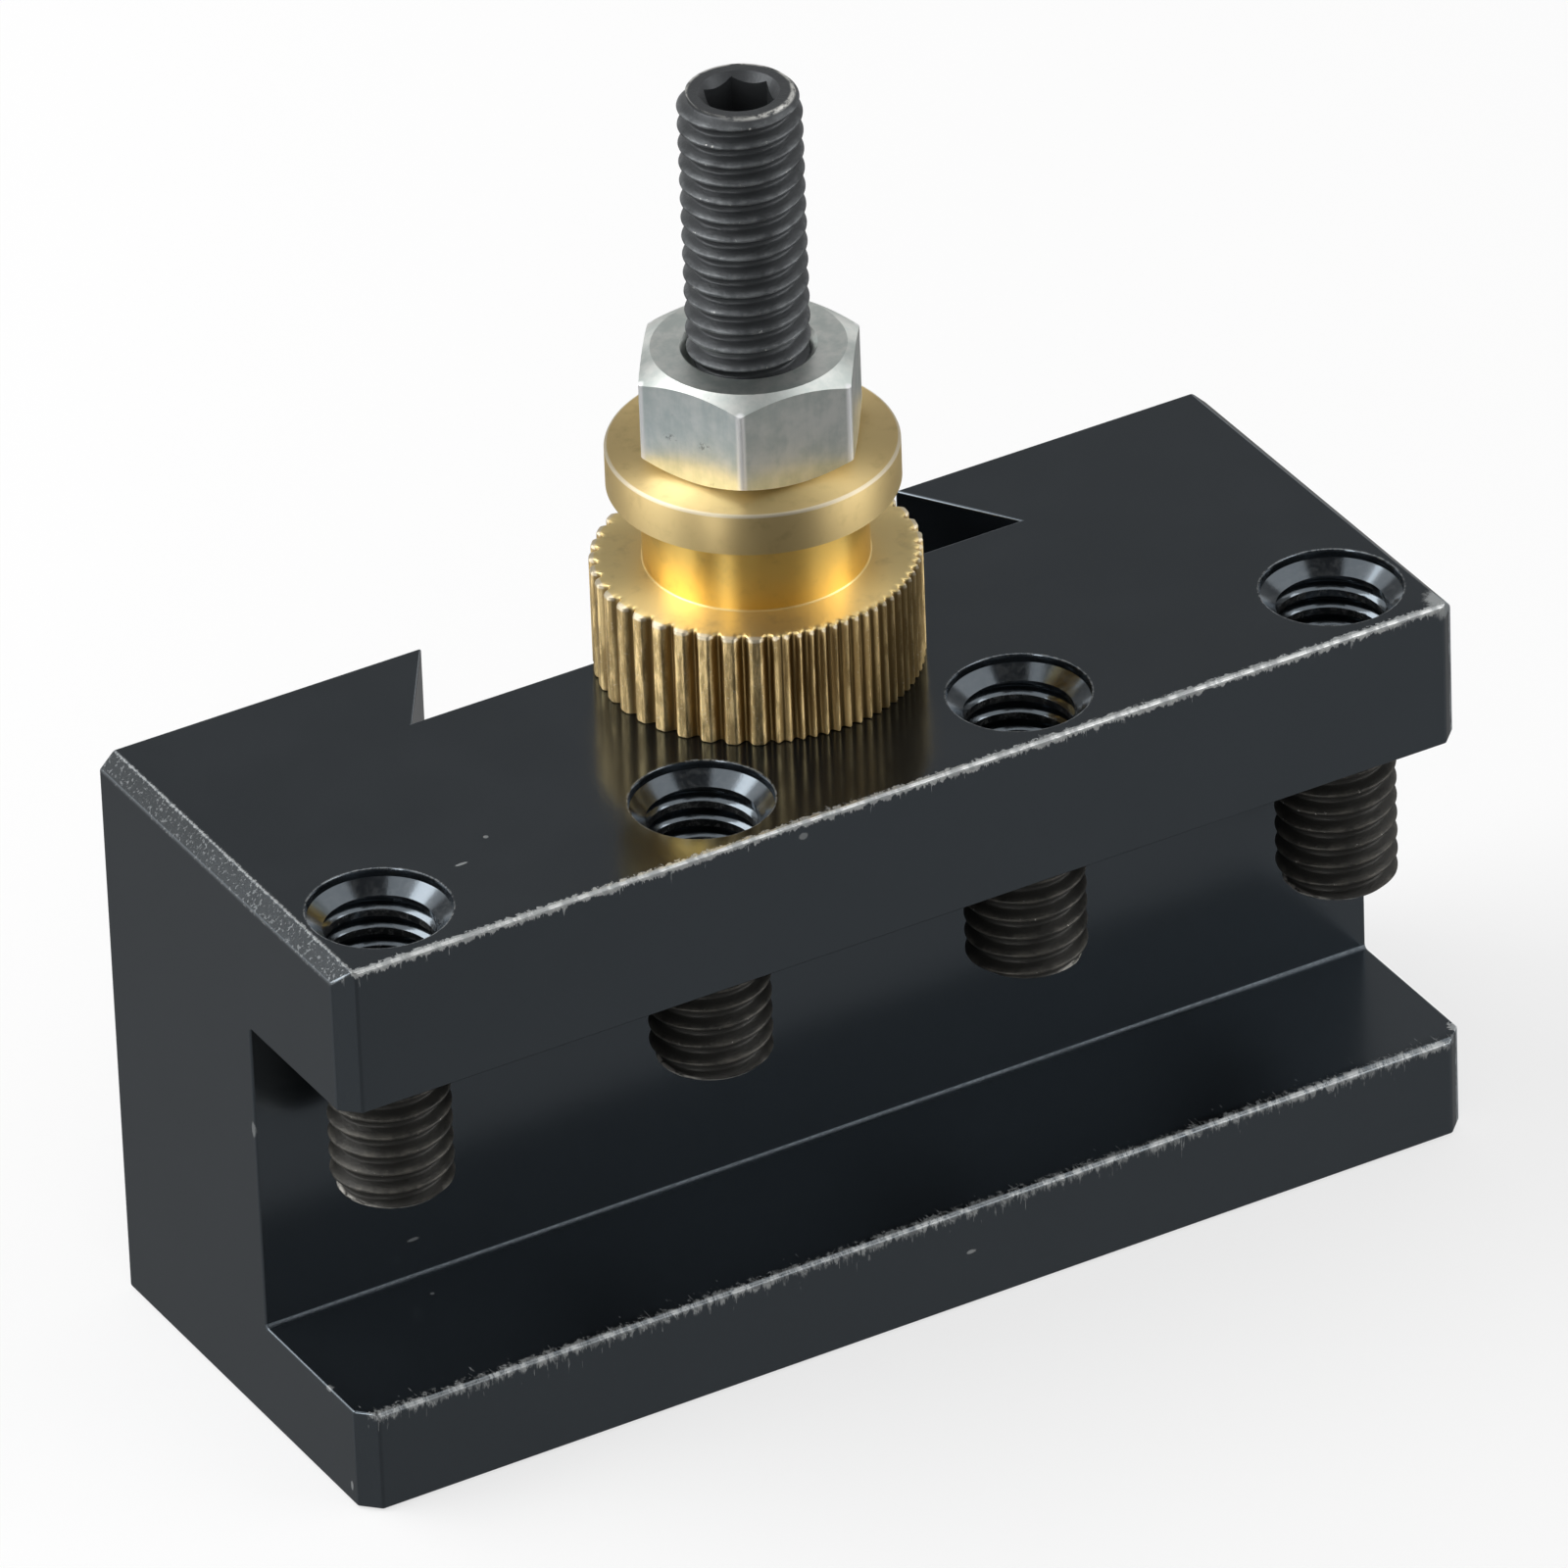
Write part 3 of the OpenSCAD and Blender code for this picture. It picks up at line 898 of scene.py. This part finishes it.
heightNut = {
    "foot": 5.9,           # height of the knurled foot
    "neck": 4.0,           # height of the neck
    "neckRadius": 5.4,
    "flangeRadius": 7.0,
    "footRadius": 7.95,
    "bore": 1.5,           # radius before the thread is cut
    "teeth": 40,
    "grooveDepth": 0.42,
    "grooveShare": 0.72,   # width of a groove as a share of one tooth
    "turn": 5.25,
    "doubleMiddle": 290,   # the sector where the knurl is doubled, in degrees
    "doubleHalf": 50,
    "doubleRamp": 12,
    "pointsPerTooth": 16,
    "soft": 0.16,          # rounding of the foot's rims
    "ledge": 0.7,          # width of the plain ring at those rims
    "leadIn": 0.25,
}


def grooveShape(turns):
    away = abs(turns - math.floor(turns) - 0.5) / (heightNut["grooveShare"] / 2)
    return (1 + math.cos(math.pi * away)) / 2 if away < 1 else 0.0


def knurlDepth(angle):
    n = heightNut
    turns = (angle - n["turn"]) * n["teeth"] / 360
    apart = abs((angle - n["doubleMiddle"] + 540) % 360 - 180)
    doubled = min(1.0, max(0.0, (n["doubleHalf"] - apart) / n["doubleRamp"]))
    return n["grooveDepth"] * max(grooveShape(turns), doubled * grooveShape(turns + 0.5))


def makeHeightNut():
    n = heightNut
    base = nutLow.z
    footTop = base + n["foot"]
    neckTop = footTop + n["neck"]
    top = nutHigh.z
    soft, bore = n["soft"], n["bore"]
    foot, neck, flange = n["footRadius"], n["neckRadius"], n["flangeRadius"]
    ledge = foot - n["ledge"]
    profile = [
        (bore, base), (ledge, base), (foot - soft, base),
        (foot - soft * 0.3, base + soft * 0.3), (foot, base + soft), (foot, base + n["foot"] / 2),
        (foot, footTop - soft), (foot - soft * 0.3, footTop - soft * 0.3),
        (foot - soft, footTop), (ledge, footTop),
        (neck + 0.06, footTop), (neck, footTop + 0.06), (neck, neckTop - 0.06),
        (neck + 0.06, neckTop), (flange - 0.12, neckTop), (flange - 0.04, neckTop + 0.04),
        (flange, neckTop + 0.12), (flange, top - 0.14), (flange - 0.04, top - 0.04),
        (flange - 0.14, top), (bore, top), (bore, base),
    ]
    nut = turnOnLathe("heightNut", studAxis, profile, n["teeth"] * n["pointsPerTooth"])

    def rule(angle, height, radius):
        if height > footTop + 0.001 or radius < foot - 0.5:
            return radius
        return radius - knurlDepth(angle)
    shapeRadius(nut, studAxis, rule)
    tapHole(nut, studAxis, base, top, crestAt["stud"], thread["tapped"] + n["leadIn"])
    smooth(nut, 32, weighted=True)
    sizes = {"footTop": footTop, "neckTop": neckTop, "top": top, "neckRadius": neck,
             "footRadius": foot, "flangeRadius": flange}
    paint(nut, brassMaterial(studAxis, sizes))
    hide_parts("height_adjusting_nut")
    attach(nut, "height_adjuster")
    print("height adjusting nut made:", len(nut.data.polygons), "faces")


# Lock nut

lockNut = {
    "acrossFlats": 10.0,
    "faceRadius": 4.65,    # circle where the end faces meet the chamfers
    "discRadius": 7.0,     # of the disc that cuts the chamfers, beyond the corners
    "slope": 30,
    "turn": 55.5,
    "cornerRound": 0.14,
    "leadIn": 0.25,
}


def makeLockNut():
    n = lockNut
    low, high = lockLow.z, lockHigh.z
    corner = n["acrossFlats"] / 2 / math.cos(math.radians(30))
    nut = cone("lockNut", studAxis, low, high, corner, corner, 6, n["turn"])
    bevelEdges(nut, lambda a, b: abs(a.z - b.z) > 1, n["cornerRound"], 4)
    # A disc with sloping rims takes the corners off both ends
    face, wide = n["faceRadius"], n["discRadius"]
    drop = (wide - face) * math.tan(math.radians(n["slope"]))
    disc = turnOnLathe("chamferDisc", studAxis,
                       [(0.5, low), (face, low), (wide, low + drop), (wide, high - drop),
                        (face, high), (0.5, high), (0.5, low)], 120)
    combine(nut, disc, "INTERSECT")
    tapHole(nut, studAxis, low, high, crestAt["stud"], thread["tapped"] + n["leadIn"])
    smooth(nut, 25, weighted=True)
    corners = [(studAxis[0] + corner * math.cos(math.radians(n["turn"] + 60 * side)),
                studAxis[1] + corner * math.sin(math.radians(n["turn"] + 60 * side)))
               for side in range(6)]
    paint(nut, zincMaterial(corners))
    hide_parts("lock_nut")
    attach(nut, "lock")
    print("lock nut made:", len(nut.data.polygons), "faces")


# Camera, floor and light

camera = {
    "azimuth": 29.082,     # turn from +Y towards +X, in degrees
    "elevation": 32.092,
    "roll": -2.178,
    "target": (-0.124, 0.0, 24.036),
    "distance": 902.3,
    "lens": 436.72,
    "sensor": 36,
    "clip": (0.01, 20),    # nearest and farthest that it sees, in metres
}


def makeCamera():
    c = camera
    turn, tilt = math.radians(c["azimuth"]), math.radians(c["elevation"])
    forward = Vector((math.sin(turn) * math.cos(tilt), math.cos(turn) * math.cos(tilt),
                      -math.sin(tilt)))
    right = Vector((math.cos(turn), -math.sin(turn), 0))
    up = right.cross(forward)
    roll = math.radians(c["roll"])
    tiltedRight = right * math.cos(roll) + up * math.sin(roll)
    tiltedUp = up * math.cos(roll) - right * math.sin(roll)
    bpy.ops.object.camera_add()
    made = bpy.context.object
    made.name = "photoCamera"
    turned = Matrix((tiltedRight, tiltedUp, -forward)).transposed().to_4x4()
    place = Vector(c["target"]) - forward * c["distance"]
    made.matrix_world = Matrix.Translation(place * mm) @ turned
    made.data.sensor_width = c["sensor"]
    made.data.lens = c["lens"]
    made.data.clip_start, made.data.clip_end = c["clip"]
    bpy.context.scene.camera = made


studio = {
    "worldLight": 0.5,
    "aim": (0, 0, 0.02),   # where the lamps point
    "floorSize": 6,
    "floorDrop": 0.0001,   # keeps the floor clear of the object's underside
    "floorRoughness": 0.9,
    "floorSpecular": 0.1,
    "floorSeen": 0.32,     # colour of the floor as the camera and metal see it
    "floorGlow": 0.67,     # added for the camera, so that the floor is white
    "floorBounce": 0.4,    # colour of the floor for light on the object
    "lamps": [             # place, size and power; a fill gives no highlights
        {"name": "leftSoftbox", "at": (-0.42, 0.20, 0.38), "size": 0.42, "power": 2.0},
        {"name": "rightFill", "at": (0.46, -0.34, 0.46), "size": 0.5, "power": 0.7,
         "fill": True},
        {"name": "rearFill", "at": (-0.30, 0.52, 0.34), "size": 0.3, "power": 0.8,
         "fill": True},
        {"name": "frontFill", "at": (-0.25, -0.6, 0.12), "size": 0.5, "power": 0.8,
         "fill": True},
    ],
    # Cards that only reflections see: place (towards the camera, to its right, up),
    # size, tilt and swing in degrees
    "cards": [
        {"name": "ceilingCard", "at": (0.0, 0.0, 1.2), "size": (9.0, 9.0), "grey": 0.145},
        {"name": "overheadCard", "at": (-0.25, 0.0, 1.0), "size": (2.6, 1.5), "grey": 0.95},
        {"name": "cameraArm", "at": (0.09, 0.11, 0.85), "size": (0.50, 0.34), "grey": 0.02,
         "blocks": True},
        {"name": "darkFront", "at": (1.15, 0.0, 0.55), "size": (2.0, 1.1), "grey": 0.03,
         "tilt": 90},
        {"name": "leftStrip", "at": (0.52, -0.30, 0.34), "size": (0.13, 0.34), "grey": 2.2,
         "tilt": 60, "swing": -30},
        {"name": "leftLow", "at": (0.52, -0.30, 0.13), "size": (0.15, 0.25), "grey": 4.6,
         "tilt": 90, "swing": -30},
        {"name": "rightLow", "at": (0.22, 0.55, 0.13), "size": (0.3, 0.25), "grey": 3.0,
         "tilt": 90, "swing": 68},
        {"name": "rightStrip", "at": (0.0, 0.6, 0.32), "size": (0.26, 0.4), "grey": 3.4,
         "tilt": 60, "swing": 90},
        {"name": "tableCard", "at": (0.0, 0.0, -0.00004), "size": (0.3, 0.3), "grey": 0.148},
    ],
}


def makeStudio():
    world = bpy.data.worlds.new("studioWorld")
    bpy.context.scene.world = world
    world.use_nodes = True
    tree = world.node_tree
    seen = node(tree, "ShaderNodeLightPath")
    shown = maths(tree, "MAXIMUM", seen.outputs["Is Camera Ray"],
                  maths(tree, "MAXIMUM", seen.outputs["Is Glossy Ray"],
                        seen.outputs["Is Transmission Ray"]))
    strength = mixValue(tree, shown, studio["worldLight"], 1.0)
    back = tree.nodes["Background"]
    back.inputs["Color"].default_value = (1, 1, 1, 1)
    tree.links.new(strength, back.inputs["Strength"])

    deselectAll()
    bpy.ops.mesh.primitive_plane_add(size=studio["floorSize"],
                                     location=(0, 0, -studio["floorDrop"]))
    floor = bpy.context.object
    floor.name = "floor"
    material, tree, shader = newMaterial("paleFloor")
    path = node(tree, "ShaderNodeLightPath").outputs
    pale, dim = [(studio[key],) * 3 for key in ("floorSeen", "floorBounce")]
    tree.links.new(mixColour(tree, path["Is Diffuse Ray"], pale, dim),
                   shader.inputs["Base Color"])
    shader.inputs["Emission Color"].default_value = (1, 1, 1, 1)
    tree.links.new(maths(tree, "MULTIPLY", path["Is Camera Ray"], studio["floorGlow"]),
                   shader.inputs["Emission Strength"])
    shader.inputs["Roughness"].default_value = studio["floorRoughness"]
    shader.inputs["Specular IOR Level"].default_value = studio["floorSpecular"]
    floor.data.materials.append(material)

    for lamp in studio["lamps"]:
        bpy.ops.object.light_add(type="AREA", location=lamp["at"])
        made = bpy.context.object
        made.name = lamp["name"]
        made.data.size = lamp["size"]
        made.data.energy = lamp["power"]
        aim = Vector(studio["aim"]) - Vector(lamp["at"])
        made.rotation_euler = aim.to_track_quat("-Z", "Y").to_euler()
        made.visible_glossy = not lamp.get("fill", False)

    turn = math.radians(camera["azimuth"])
    for card in studio["cards"]:
        near, right, up = card["at"]
        bpy.ops.mesh.primitive_plane_add(
            size=1, location=(right * math.cos(turn) - near * math.sin(turn),
                              -right * math.sin(turn) - near * math.cos(turn), up),
            rotation=(math.radians(card.get("tilt", 0)), 0,
                      math.radians(card.get("swing", 0)) - turn))
        made = bpy.context.object
        made.name = card["name"]
        made.scale = (*card["size"], 1)
        applyPlace(made)
        material, tree, shader = newMaterial(card["name"])
        shader.inputs["Base Color"].default_value = (0, 0, 0, 1)
        shader.inputs["Emission Color"].default_value = (1, 1, 1, 1)
        shader.inputs["Emission Strength"].default_value = card["grey"]
        made.data.materials.append(material)
        made.visible_camera = False
        made.visible_diffuse = False
        made.visible_shadow = card.get("blocks", False)
    print("studio made")


makeCamera()
makeStudio()
makeBody()
makeStud()
makeClampScrews()
makeHeightNut()
makeLockNut()

bpy.context.scene.view_settings.view_transform = "Standard"
